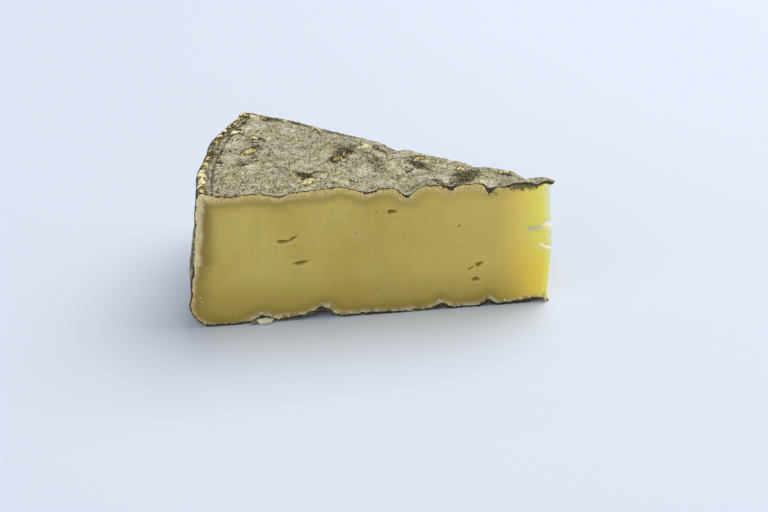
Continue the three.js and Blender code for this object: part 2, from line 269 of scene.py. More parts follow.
def from_cut(x, y, side):
    """Distance along a cut plane from the axis, and into the wedge from that plane."""
    along = -x * math.cos(HALF_ANGLE) + side * y * math.sin(HALF_ANGLE)
    inward = -x * math.sin(HALF_ANGLE) - side * y * math.cos(HALF_ANGLE)
    return along, inward


def dent_depth(x, y, dents, side):
    along, inward = from_cut(x, y, side)
    return sum(depth * bell(along - at, width) * bell(inward, reach) for at, depth, width, reach in dents)


def swell_height(x, y):
    height = 0
    turn = FIRST_TURN
    for length, rise in SWELLS:
        for _ in range(CROSSINGS):
            along = x * math.cos(turn) + y * math.sin(turn)
            height = height + rise / 2 * np.sin(2 * math.pi * along / length + CROSSINGS * turn)
            turn += GOLDEN_ANGLE
    return height


def uneven_skin(points):
    """Moves points of the smooth round to where the solid's uneven skin has them."""
    x, y, z = points.T
    radius = np.hypot(x, y)
    topness = smooth_step(z, HEIGHT_AT_TIP - 4 * RIND, HEIGHT_AT_TIP - RIND / 2)
    rimness = smooth_step(radius, SHOULDER_RADIUS - 2 * SHOULDER_ROUND, SHOULDER_RADIUS)
    baseness = 1 - smooth_step(z, 0, 2 * RIND)
    top_dents = dent_depth(x, y, NEAR_TOP_DENTS, NEAR) + dent_depth(x, y, FAR_TOP_DENTS, FAR)
    base_dents = dent_depth(x, y, NEAR_BASE_DENTS, NEAR) + dent_depth(x, y, FAR_BASE_DENTS, FAR)
    to_nearest_cut = np.minimum(from_cut(x, y, NEAR)[1], from_cut(x, y, FAR)[1])
    swelling = smooth_step(to_nearest_cut, 0, SWELL_FADE)
    top = topness * (swelling * swell_height(x, y) - top_dents)
    base = baseness * np.maximum(0, base_dents - FAINT_DENT)
    side_swell = swell_height(SIDE_SWELL_SHORTER * y, SIDE_SWELL_SHORTER * z)
    outwards = 1 + rimness * smooth_step(z, 0, BELLY_HEIGHT) * side_swell / radius
    return np.stack([x * outwards, y * outwards, z + top + base], -1)


def resample(line, step):
    """Points along a polyline, about that far apart, with its first point but not its last."""
    points = []
    for start, end in zip(line[:-1], line[1:]):
        count = max(1, round(math.dist(start, end) / step))
        points += [tuple(np.add(start, np.subtract(end, start) * i / count)) for i in range(count)]
    return points


def section_of_round():
    """The closed section from the top of the tip outwards, and the number of its points that are rind."""
    shoulder_start = SHOULDER_RADIUS - SHOULDER_ROUND
    quarter = [math.pi / 2 * i / ARC_STEPS for i in range(ARC_STEPS + 1)]
    shoulder = [
        (shoulder_start + SHOULDER_ROUND * math.sin(t), HEIGHT_AT_RIM - SHOULDER_ROUND * (1 - math.cos(t)))
        for t in quarter
    ]
    side_top = HEIGHT_AT_RIM - SHOULDER_ROUND
    side = [
        (
            SHOULDER_RADIUS + (RIM_RADIUS - SHOULDER_RADIUS) * float(smooth_step(i / WALL_STEPS, 0, 1)),
            side_top + (BELLY_HEIGHT - side_top) * i / WALL_STEPS,
        )
        for i in range(WALL_STEPS + 1)
    ]
    foot = [
        (RIM_RADIUS - FOOT_ROUND * (1 - math.cos(t)), BELLY_HEIGHT * (1 - math.sin(t))) for t in quarter
    ]
    top = resample([(TIP_RADIUS, HEIGHT_AT_TIP), shoulder[0]], TOP_STEP)
    rim = resample(resample(shoulder + side[1:] + foot[1:], SIDE_STEP) + foot[-1:], SIDE_STEP)
    base = resample([foot[-1], TIP_EDGE[0]], BASE_STEP)
    tip = resample(TIP_EDGE, SIDE_STEP)
    return np.array(top + rim + base + tip), len(top) + len(rim) + len(base)


def section_normals(section):
    """Outward directions of the section's line, in distance from the axis and height."""
    along = np.roll(section, -1, 0) - np.roll(section, 1, 0)
    normals = np.stack([-along[:, 1], along[:, 0]], -1)
    return normals / np.linalg.norm(normals, axis=1)[:, None]


def zip_rows(first, second):
    """Triangles between two rows of point numbers that start and end side by side."""
    triangles = []
    i = j = 0
    while i < len(first) - 1 or j < len(second) - 1:
        next_first = (i + 1) / (len(first) - 1)
        next_second = (j + 1) / (len(second) - 1)
        if next_first <= next_second:
            triangles.append((first[i], first[i + 1], second[j]))
            i += 1
        else:
            triangles.append((first[i], second[j + 1], second[j]))
            j += 1
    return triangles


def spot_distance(x, y, at, degrees, half_length, half_width, turn):
    """0 at the middle of an oval spot on top of the rind, and 1 at its edge."""
    centre_x, centre_y, _ = from_axis(at, math.radians(degrees) - HALF_ANGLE, 0.0)
    angle = math.radians(turn)
    along = (x - centre_x) * math.cos(angle) + (y - centre_y) * math.sin(angle)
    across = (y - centre_y) * math.cos(angle) - (x - centre_x) * math.sin(angle)
    return np.hypot(along / half_length, across / half_width)


class Skin:
    """The rind and the tip edge as rows of points, one row for each point of the section."""

    def __init__(self):
        section, self.rind_rows = section_of_round()
        self.rows = []
        smooth, directions, is_rind = [], [], []
        start = 0
        for number, ((radius, up), (out, rise)) in enumerate(zip(section, section_normals(section))):
            count = max(3, round(radius * WEDGE_ANGLE / SIDE_STEP)) + 1
            angles = np.linspace(-HALF_ANGLE, HALF_ANGLE, count)
            self.rows.append(list(range(start, start + count)))
            start += count
            smooth.append(from_axis(radius, angles, up))
            directions.append(from_axis(out, angles, rise))
            is_rind += [number < self.rind_rows] * count
        self.smooth = np.concatenate(smooth)
        self.directions = np.concatenate(directions)
        self.is_rind = np.array(is_rind)
        self.points = uneven_skin(self.smooth)
        self.masks = {}
        self.add_relief()

    def add_relief(self):
        """The fine relief of the rind, and the masks that its colours follow."""
        place = self.smooth
        x, y, z = place.T
        radius = np.hypot(x, y)
        degrees = np.degrees(np.arctan2(y, -x) + HALF_ANGLE)
        topness = smooth_step(z, HEIGHT_AT_RIM - SHOULDER_ROUND - 1, HEIGHT_AT_TIP - 0.2)
        wall = smooth_step(radius, SHOULDER_RADIUS - 0.9, SHOULDER_RADIUS - 0.2)
        baseness = 1 - smooth_step(z, 0, 2.5)
        wobble = 1 + 0.4 * fractal(place, 1.5, 2, 1)
        bumps = fractal(place, BUMP_SIZE, 3, 2)
        wrinkles = ridges(place, WRINKLE_SIZE, 3) * smooth_step(bumps, -0.6, 0.4)
        grain = fractal(place, GRAIN_SIZE, 2, 4)
        pits = smooth_step(fractal(place, PIT_SIZE, 1, 5), 0.46, 0.62)
        to_rim = smooth_step(radius, SHOULDER_RADIUS - 5, SHOULDER_RADIUS - 1.5)
        relief = BUMP_HEIGHT * bumps + GRAIN_HEIGHT * grain - WRINKLE_DEPTH * wrinkles - PIT_DEPTH * pits
        relief = relief * (1 - RIM_SMOOTHING * to_rim)
        flake = np.zeros(len(place))
        amber = np.zeros(len(place))
        pale = np.zeros(len(place))
        # Painted shade: the rind is painted dark in its pits and wrinkles.
        dark_and_shade = 0.5 * np.clip(1.1 * pits + 0.35 * wrinkles, 0, 1)

        for *oval, strength in PALE_PATCHES:
            patch = strength * np.clip(PATCH_END - spot_distance(x, y, *oval), 0, 1) * topness
            pale = np.maximum(pale, patch)
        for *oval, strength in DARK_PATCHES:
            patch = strength * np.clip(PATCH_END - spot_distance(x, y, *oval), 0, 1) * topness
            dark_and_shade = np.maximum(dark_and_shade, patch)
        # Painted shade: each crevice is painted dark as well as sunk.
        for *oval, strength in CREVICES:
            sunk = strength * (1 - smooth_step(spot_distance(x, y, *oval) * wobble, 0.5, 1.4)) * topness
            relief = relief - CREVICE_DEPTH * sunk
            dark_and_shade = np.maximum(dark_and_shade, sunk)
        for *oval, amberness in TOP_FLAKES:
            distance = spot_distance(x, y, *oval)
            ragged = distance * wobble
            raised = (1 - smooth_step(ragged, 0.7, 1.1)) * topness
            moat = smooth_step(ragged, 0.9, 1.2) * (1 - smooth_step(ragged, 1.3, 2)) * topness
            relief = relief * (1 - 0.5 * raised) + FLAKE_HEIGHT * raised * (1 + grain) - MOAT_DEPTH * moat
            field = np.clip(1 - distance / 2, 0, 1) * topness
            amber = np.where(field > flake, amberness, amber)
            flake = np.maximum(flake, field)

        # The shoulder is rubbed to cream near the near cut and to brown farther round, and has dark edges.
        rubbed = bell(radius - SHOULDER_RADIUS + RUBBED_IN, RUBBED_WIDTH) * topness
        near_end = smooth_step(degrees, 1.5, 3) * (1 - smooth_step(degrees, 8, 12))
        blotches = fractal(place, BLOTCH_SIZE, 2, 6)
        field = rubbed * (0.42 + 0.14 * near_end + 0.4 * blotches)
        amber = np.where(field > flake, 0.56 - 0.3 * near_end - 0.25 * blotches, amber)
        flake = np.maximum(flake, field)
        inner_line = bell(radius - SHOULDER_RADIUS + INNER_LINE_IN, INNER_LINE_WIDTH) * topness
        dark_and_shade = np.maximum(dark_and_shade, 0.6 * inner_line + 0.65 * rubbed * (1 - 0.5 * near_end))

        # The wall of the rim is painted dark, partly its own dark rind and partly painted shade, darkest just
        # under the shoulder. It has worn spots.
        worn = wall * smooth_step(fractal(place, 3.4, 2, 7), 0.1, 0.6)
        amber = np.where(0.48 * worn > flake, 0.55, amber)
        flake = np.maximum(flake, 0.48 * worn)
        high = smooth_step(z, 37.5, 39.5)
        mottled = 0.5 + 0.5 * fractal(place, 4, 3, 8)
        dark_and_shade = np.maximum(dark_and_shade, wall * (0.25 + 0.55 * high + 0.3 * mottled))

        # The base stays flat: only hollows are left of the relief there, and its dents are painted dark
        # inside as painted shade.
        dents = dent_depth(x, y, NEAR_BASE_DENTS, NEAR) + dent_depth(x, y, FAR_BASE_DENTS, FAR)
        dark_and_shade = np.maximum(dark_and_shade, 1.4 * baseness * smooth_step(dents, 0.3, 1.5))
        relief = np.where(relief > 0, relief * (1 - baseness), relief) * self.is_rind
        self.points = self.points + self.directions * relief[:, None]
        self.points[:, 2] = np.maximum(self.points[:, 2], 0)
        tip_depth = np.minimum(z, HEIGHT_AT_TIP - z)
        self.masks = {"relief": relief, "flake": flake, "amber": amber, "dark_and_shade": dark_and_shade, "pale": pale}
        self.masks["depth"] = np.where(self.is_rind, 0, tip_depth)
        # The paste of the tip's own edge is marked for the painted glow and highlight.
        self.masks["edge"] = (~self.is_rind).astype(float)

    def triangles(self):
        """Triangles of the rind, and those of the tip's paste."""
        rind, paste = [], []
        for number, row in enumerate(self.rows):
            following = self.rows[(number + 1) % len(self.rows)]
            (rind if number < self.rind_rows else paste).extend(zip_rows(row, following))
        return rind, paste

    def edge(self, side):
        """Numbers of the points along one cut."""
        return [row[0] if side == NEAR else row[-1] for row in self.rows]


def is_torn(radius, up):
    return (radius > TORN_PAST) & (up > TORN_HEIGHTS[0]) & (up < TORN_HEIGHTS[1])


def inside(points, outline):
    """Which points lie inside a closed outline."""
    found = np.zeros(len(points), bool)
    for (x0, y0), (x1, y1) in zip(outline, np.roll(outline, -1, 0)):
        crosses = (y0 > points[:, 1]) != (y1 > points[:, 1])
        if y0 != y1:
            found ^= crosses & (points[:, 0] < (x1 - x0) * (points[:, 1] - y0) / (y1 - y0) + x0)
    return found


def distance_to(points, line):
    """Distance of each 2D point from a line through other points."""
    tree = kdtree.KDTree(len(line))
    for number, (across, up) in enumerate(line.tolist()):
        tree.insert((across, up, 0), number)
    tree.balance()
    nearest = np.array([tree.find((across, up, 0))[1] for across, up in points.tolist()])
    distance = np.full(len(points), np.inf)
    for step in (-1, 1):
        start = line[nearest]
        run = line[np.clip(nearest + step, 0, len(line) - 1)] - start
        share = np.clip(np.sum((points - start) * run, 1) / np.maximum(np.sum(run * run, 1), 1e-9), 0, 1)
        distance = np.minimum(distance, np.linalg.norm(points - start - run * share[:, None], axis=1))
    return distance


def uneven_oval(turn, eye):
    """How far the edge of an eye lies out of its oval, in that direction from its middle."""
    at, up, *_ = eye
    return 1 + 0.1 * np.sin(2 * turn + at) + 0.12 * np.sin(3 * turn + up) + 0.06 * np.sin(5 * turn + at)


def eye_place(points, eye):
    """0 at the middle of an eye and 1 at its edge, and how far up the eye, for 2D points of a cut face."""
    at, up, half_length, half_height, tilt = eye
    angle = math.radians(tilt)
    across = -(points[:, 0] - at)
    rise = points[:, 1] - up
    u = (across * math.cos(angle) + rise * math.sin(angle)) / half_length
    v = (rise * math.cos(angle) - across * math.sin(angle)) / half_height
    return np.hypot(u, v) / uneven_oval(np.arctan2(v, u), eye), v


def eye_rings(eye):
    """Points on rings round an eye, closest together at its edge."""
    at, up, half_length, half_height, tilt = eye
    angle = math.radians(tilt)
    turns = np.arange(EYE_TURNS) * 2 * math.pi / EYE_TURNS
    rings = []
    for share in EYE_RINGS:
        u = np.cos(turns) * share * uneven_oval(turns, eye) * half_length
        v = np.sin(turns) * share * uneven_oval(turns, eye) * half_height
        across = u * math.cos(angle) - v * math.sin(angle)
        rise = u * math.sin(angle) + v * math.cos(angle)
        rings.append(np.stack([at - across, up + rise], -1))
    return np.concatenate(rings)


def cut_face_points(outline, eyes, rng):
    """2D points inside a cut face: a grid that is fine near the outline, and rings round the eyes."""
    columns = math.ceil(RIM_RADIUS / CUT_STEP) + 4
    rows = math.ceil(HEIGHT_AT_RIM / (CUT_STEP * ROW_SPACING)) + 4
    column, row = np.meshgrid(np.arange(columns), np.arange(rows))
    across = (column + 0.5 * (row % 2)) * CUT_STEP
    grid = np.stack([across, row * CUT_STEP * ROW_SPACING], -1).reshape(-1, 2)
    sparse = ((row % 4 == 0) & (column % 2 == 0)) | ((row % 4 == 2) & (column % 2 == 1))
    grid = grid + rng.uniform(-JITTER, JITTER, grid.shape)
    distance = distance_to(grid, outline)
    kept = inside(grid, outline) & (distance > EDGE_GAP) & ((distance < FINE_BAND) | sparse.reshape(-1))
    for eye in eyes:
        kept &= eye_place(grid, eye)[0] > EYE_CLEARANCE
    return np.concatenate([grid[kept]] + [eye_rings(eye) for eye in eyes])


class CutFace:
    """A flat cut face with its eyes, between the skin's points along one cut."""

    def __init__(self, skin, side, eyes, shift):
        self.edge = skin.edge(side)
        border = skin.points[self.edge]
        outline = np.stack([from_cut(border[:, 0], border[:, 1], side)[0], border[:, 2]], -1)
        flat = cut_face_points(outline, eyes, np.random.default_rng(SEED + shift))
        self.triangles = self.fill(np.concatenate([outline, flat]), len(outline), side)

        depth = distance_to(flat, outline[: skin.rind_rows])
        tip_edge = outline[skin.rind_rows:]
        torn = is_torn(*tip_edge.T)
        # Painted light: paste near the tip's edge and along the lips of the tears is marked for a painted
        # glow and highlight.
        thin = 1 - smooth_step(distance_to(flat, tip_edge[~torn]), 0, THIN_EDGE)
        lips = 1 - smooth_step(distance_to(flat, tip_edge[torn]), 0, TORN_LIP)
        eye, hollow = np.zeros(len(flat)), np.zeros(len(flat))
        for lobe in eyes:
            share, rise = eye_place(flat, lobe)
            strength = min(1, lobe[2] / LONG_EYE)
            hollow = np.maximum(hollow, EYE_DEPTH * strength * (1 - smooth_step(share, 0.3, 1.15)))
            # A painted highlight: the paste just under each eye is marked paler.
            painted_lip_highlight = 0.5 * bell(share - 1.4, 0.3) * smooth_step(-rise, 0, 0.6)
            eye = eye + strength * (1 - smooth_step(share, 0.45, 1.1)) - painted_lip_highlight
        self.masks = {"depth": depth, "edge": np.maximum(thin, lips), "eye": np.clip(eye, -1, 1)}

        place = np.stack([flat[:, 0], flat[:, 1], np.full(len(flat), 50.0 * shift)], -1)
        grainy = 1 - smooth_step(depth, 1.6, 3.2)
        waves = fractal(place, CUT_WAVE_SIZE, 2, 11)
        knife_marks = fractal(place * KNIFE_MARK_STRETCH, KNIFE_MARK_SIZE, 2, 12)
        uneven = CUT_WAVE_HEIGHT * waves + KNIFE_MARK_HEIGHT * knife_marks
        uneven += 0.1 * grainy * fractal(place, 0.9, 2, 13)
        hollow += uneven * smooth_step(distance_to(flat, outline), 0, 1.2)
        normal = np.array([math.sin(HALF_ANGLE), side * math.cos(HALF_ANGLE), 0])
        self.points = from_axis(flat[:, 0], side * HALF_ANGLE, flat[:, 1]) - normal * hollow[:, None]

    @staticmethod
    def fill(points, border_count, side):
        """Triangles inside the border, as numbers of these points, that face out of the wedge."""
        corners = [Vector(p) for p in points.tolist()]
        _, _, faces, sources, _, _ = delaunay_2d_cdt(corners, [], [list(range(border_count))], 1, 1e-7)
        triangles = []
        for face in faces:
            a, b, c = (sources[corner][0] for corner in face)
            ab, ac = points[b] - points[a], points[c] - points[a]
            faces_far = ab[0] * ac[1] - ab[1] * ac[0] > 0
            triangles.append((a, b, c) if faces_far == (side == FAR) else (a, c, b))
        return triangles


def make_scrap(at, up, half_length, half_thickness, half_height, tilt, shift):
    """Points and triangles of a small uneven ball on the near cut face."""
    ball = bmesh.new()
    bmesh.ops.create_icosphere(ball, subdivisions=3, radius=1)
    points = np.array([list(v.co) for v in ball.verts])
    triangles = [tuple(v.index for v in face.verts) for face in ball.faces]
    ball.free()
    points *= (1 + 0.45 * fractal(points, 0.9, 3, 20 + shift))[:, None]
    along, out, rise = (points * (half_length, half_thickness, half_height)).T
    angle = math.radians(tilt)
    across = along * math.cos(angle) - rise * math.sin(angle)
    rise = along * math.sin(angle) + rise * math.cos(angle)
    normal = np.array([math.sin(HALF_ANGLE), NEAR * math.cos(HALF_ANGLE), 0])
    scrap_up = np.maximum(up + rise, LOWEST_SCRAP)
    placed = from_axis(at - across, NEAR * HALF_ANGLE, scrap_up) + normal * out[:, None]
    return placed, triangles


def thickening(along, places):
    return sum(extra * bell(along - at, width) for at, extra, width in places)


def cut_masks(points):
    """The masks of the cut faces that follow from a point's place alone."""
    x, y, z = points.T
    near = y < 0
    along = np.where(near, from_cut(x, y, NEAR)[0], from_cut(x, y, FAR)[0])
    upper = z > HEIGHT_AT_TIP / 2
    top_crust = np.where(near, thickening(along, NEAR_TOP_CRUST), thickening(along, FAR_TOP_CRUST))
    base_crust_and_shade = np.where(near, thickening(along, NEAR_BASE_CRUST_AND_SHADE), thickening(along, FAR_BASE_CRUST_AND_SHADE))
    from_tip = smooth_step(along, *BAND_GROWS)
    top_band = BAND * (0.2 + 0.8 * from_tip)
    base_band = BAND * (0.6 + 0.25 * from_tip - 0.4 * smooth_step(along, 86, 95)) + base_crust_and_shade
    mould = 0
    for at, width, up, high, strength in MOULD_SMEARS:
        mould = mould + strength * bell(along - at, width) * bell(z - up, high)
    return {
        # Along the base the crust mask is widened by painted contact shadow.
        "crust_and_shade": CRUST + np.where(upper, top_crust, BASE_PAINTED_SHADOW + base_crust_and_shade),
        "band": np.where(upper, top_band, base_band),
        "rimside": smooth_step(along, *RIM_SIDE),
        "mould": mould,
        # Painted light: the tip mask carries the painted glow towards the tip.
        "tip": np.clip(1 - along / GLOW_REACH, 0, 1),
    }


class Gathered:
    """Points, masks and triangles of one mesh, gathered bit by bit."""

    def __init__(self):
        self.points = np.zeros((0, 3))
        self.masks = {name: np.zeros(0) for name in MASKS}
        self.triangles = {RIND_FACES: [], PASTE_FACES: []}

    def add_points(self, points, masks):
        """Adds points with their masks, 0 where none is given, and gives the number of the first."""
        start = len(self.points)
        self.points = np.concatenate([self.points, points])
        for name in MASKS:
            values = masks.get(name, np.zeros(len(points)))
            self.masks[name] = np.concatenate([self.masks[name], values])
        return start

    def add_triangles(self, kind, triangles, numbers):
        self.triangles[kind] += [tuple(int(numbers[corner]) for corner in t) for t in triangles]

    def make_mesh(self, name, shift, materials):
        mesh = bpy.data.meshes.new(name)
        rind, paste = self.triangles[RIND_FACES], self.triangles[PASTE_FACES]
        mesh.from_pydata(((self.points + shift) * MM).tolist(), [], rind + paste)
        for material in materials:
            mesh.materials.append(material)
        kinds = [RIND_FACES] * len(rind) + [PASTE_FACES] * len(paste)
        mesh.polygons.foreach_set("material_index", kinds)
        for mask, values in self.masks.items():
            attribute = mesh.attributes.new(mask, "FLOAT", "POINT")
            attribute.data.foreach_set("value", values.astype(np.float32))
        mesh.shade_smooth()
        mesh.set_sharp_from_angle(angle=math.radians(SHARP_ANGLE))
        return mesh


class Shader:
    """A short way to write node trees: every method adds a node and gives its output."""

    def __init__(self, name):
        self.material = bpy.data.materials.new(name)
        self.material.use_nodes = True
        self.tree = self.material.node_tree
        self.surface = self.tree.nodes["Principled BSDF"]

    def put(self, socket, value):
        if isinstance(value, bpy.types.NodeSocket):
            self.tree.links.new(value, socket)
        else:
            socket.default_value = value

    def add(self, kind, settings, inputs, output=0):
        node = self.tree.nodes.new(kind)
        for name, value in settings.items():
            setattr(node, name, value)
        for name, value in inputs.items():
            self.put(node.inputs[name], value)
        return node.outputs[output]

    def mask(self, name):
        return self.add("ShaderNodeAttribute", {"attribute_name": name}, {}, "Fac")

    def place(self):
        return self.add("ShaderNodeTexCoord", {}, {}, "Object")

    def height(self):
        """Height above the floor in millimetres."""
        return self.math("MULTIPLY", self.add("ShaderNodeSeparateXYZ", {}, {0: self.place()}, "Z"), 1 / MM)

    def drawn_out(self, lengths, turn):
        """Places for a pattern that is drawn out by these factors along axes turned about the upright one."""
        inputs = {"Vector": self.place(), "Scale": lengths, "Rotation": (0, 0, math.radians(turn))}
        return self.add("ShaderNodeMapping", {"vector_type": "TEXTURE"}, inputs)

    def noise(self, size, detail=3.0, roughness=0.55, place=None):
        """Noise about 0.5 with features of that size in millimetres."""
        inputs = {"Vector": place or self.place(), "Scale": 1 / (size * MM), "Detail": detail}
        inputs["Roughness"] = roughness
        return self.add("ShaderNodeTexNoise", {}, inputs, "Fac")

    def math(self, operation, first, second=0.0, third=0.0):
        inputs = {0: first, 1: second, 2: third}
        return self.add("ShaderNodeMath", {"operation": operation}, inputs)

    def mixed(self, start, *parts):
        """start plus, for each (value, middle, share), that share of the value less its middle."""
        for value, middle, share in parts:
            start = self.math("ADD", self.math("MULTIPLY_ADD", value, share, -middle * share), start)
        return start

    def fade(self, value, start, end, low=0.0, high=1.0):
        """low where value is at start, high where it is at end, and smooth between."""
        inputs = {"Value": value, "From Min": start, "From Max": end, "To Min": low, "To Max": high}
        return self.add("ShaderNodeMapRange", {"interpolation_type": "SMOOTHSTEP"}, inputs)

    def mix(self, share, first, second, blend="MIX"):
        inputs = {0: share, 6: first, 7: second}
        return self.add("ShaderNodeMix", {"data_type": "RGBA", "blend_type": blend}, inputs, 2)

    def ramp(self, value, stops):
        """The colours of stops, as (place, colour), along a value of 0 to 1."""
        node = self.tree.nodes.new("ShaderNodeValToRGB")
        elements = node.color_ramp.elements
        while len(elements) < len(stops):
            elements.new(0.5)
        for element, (place, colour) in zip(elements, stops):
            element.position = place
            element.color = colour
        self.put(node.inputs[0], value)
        return node.outputs[0]

    def bump(self, height, strength, distance):
        inputs = {"Height": height, "Strength": strength, "Distance": distance * MM}
        return self.add("ShaderNodeBump", {}, inputs)

    def finish(self, values):
        for name, value in values.items():
            self.put(self.surface.inputs[name], value)
        return self.material


RIND_TONES = [
    (0.0, linear(52, 44, 28)), (0.2, linear(98, 90, 64)), (0.38, linear(134, 127, 97)),
    (0.52, linear(158, 152, 121)), (0.68, linear(178, 172, 141)), (0.84, linear(199, 194, 164)),
    (1.0, linear(228, 223, 198)),
]
FLAKE_TONES = [
    (0.0, linear(246, 242, 206)), (0.28, linear(236, 224, 150)), (0.5, linear(202, 178, 104)),
    (0.72, linear(142, 113, 66)), (1.0, linear(70, 54, 34)),
]


def make_rind():
    shader = Shader("rind")
    grain = shader.noise(0.42, 3, 0.65, shader.drawn_out((1, 1.3, 1), 0))
    fibre = shader.noise(0.9, 3, 0.6, shader.drawn_out((1.8, 1, 1), 48))
    speck = shader.noise(1.1, 2, 0.6)
    mottle = shader.noise(2.3, 3, 0.6)
    cloud = shader.noise(6, 4, 0.65)
    tint = shader.noise(9, 4, 0.6)
    pits = shader.fade(shader.noise(0.62, 1, 0.5, shader.drawn_out((1, 1.5, 1), 20)), 0.38, 0.3)
    dark_and_shade = shader.mixed(shader.mask("dark_and_shade"), (speck, 0.5, 0.9), (fibre, 0.5, 0.6))
    dark_and_shade = shader.fade(dark_and_shade, 0.2, 0.7)
    pale = shader.fade(shader.mixed(shader.mask("pale"), (fibre, 0.5, 0.9), (speck, 0.5, 0.6)), 0.15, 0.8)
    # Painted shade: the tone is lighter where the relief rises and darker where it sinks.
    tone = shader.mixed(
        0.63, (grain, 0.5, 2.4), (fibre, 0.5, 0.7), (mottle, 0.5, 1.0), (cloud, 0.5, 0.6),
        (shader.mask("relief"), 0, 0.35), (pale, 0, 0.22), (dark_and_shade, 0, -0.5), (pits, 0, -0.5),
    )
    colour = shader.ramp(tone, RIND_TONES)
    colour = shader.mix(shader.fade(tint, 0.5, 0.66), colour, (0.955, 0.92, 1.0, 1.0), "MULTIPLY")
    colour = shader.mix(shader.fade(tint, 0.5, 0.36), colour, (1.0, 0.985, 0.85, 1.0), "MULTIPLY")
    colour = shader.mix(shader.math("MULTIPLY", pale, 0.22), colour, linear(206, 206, 196))
    flake = shader.mixed(shader.mask("flake"), (speck, 0.5, 1.2), (grain, 0.5, 0.8))
    amber = shader.mixed(shader.mask("amber"), (speck, 0.5, -1.7), (grain, 0.5, 1.4))
    # Painted shadow: a dark ring is painted round the edge of each flake.
    painted_shadow_round_flake = shader.math("MULTIPLY", shader.fade(flake, 0.16, 0.4), shader.fade(flake, 0.54, 0.42))
    colour = shader.mix(shader.math("MULTIPLY", painted_shadow_round_flake, 0.85), colour, linear(50, 40, 27))
    colour = shader.mix(shader.fade(flake, 0.42, 0.5), colour, shader.ramp(amber, FLAKE_TONES))
    height = shader.mixed(0.0, (grain, 0.5, 1.0), (fibre, 0.5, 0.5), (mottle, 0.5, 1.0), (pits, 0, -0.6))
    return shader.finish({
        "Base Color": colour,
        "Roughness": 0.86,
        "Specular IOR Level": 0.25,
        "Normal": shader.bump(height, 0.7, 0.3),
    })


